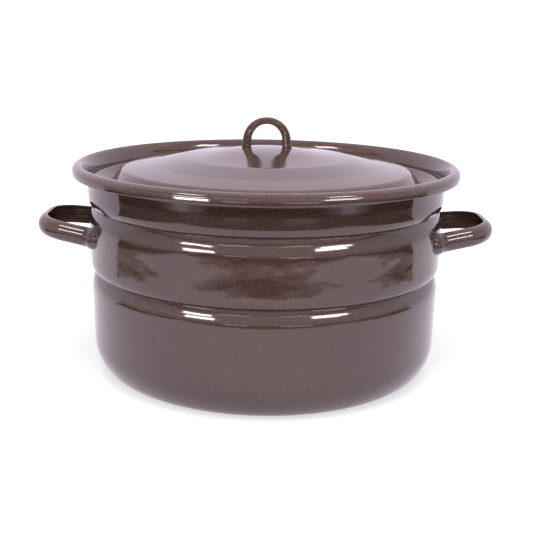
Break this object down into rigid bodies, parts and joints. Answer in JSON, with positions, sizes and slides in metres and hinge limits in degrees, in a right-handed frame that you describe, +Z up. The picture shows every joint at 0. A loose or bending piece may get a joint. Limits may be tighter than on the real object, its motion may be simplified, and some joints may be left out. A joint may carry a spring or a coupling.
{
  "type": "enamel pot with lid",
  "caption": "Wide enamelled steel cooking pot with pressed belt grooves, strap side handles and a lift-off domed lid with a finger loop, for cooking on a hob",
  "frame": {"origin": "the middle of the base, on the surface that the pot stands on", "axes": "+Z up, +X towards the right side handle, -Y towards the front as pictured"},
  "size_m": [0.4378, 0.3692, 0.2454],
  "materials": {
    "body_enamel": "gloss",
    "handle_enamel": "gloss",
    "lid_enamel": "gloss",
    "loop_enamel": "gloss"
  },
  "bodies": {
    "pot": {"pot_body": "body_enamel", "handle_left": "handle_enamel", "handle_right": "handle_enamel"},
    "lid": {"lid_cover": "lid_enamel", "lid_loop": "loop_enamel"}
  },
  "joints": [
    {"name": "lid_lift", "type": "slide", "parent": "pot", "child": "lid", "axis": [0, 0, 1], "range_m": [0, 0.25]}
  ]
}
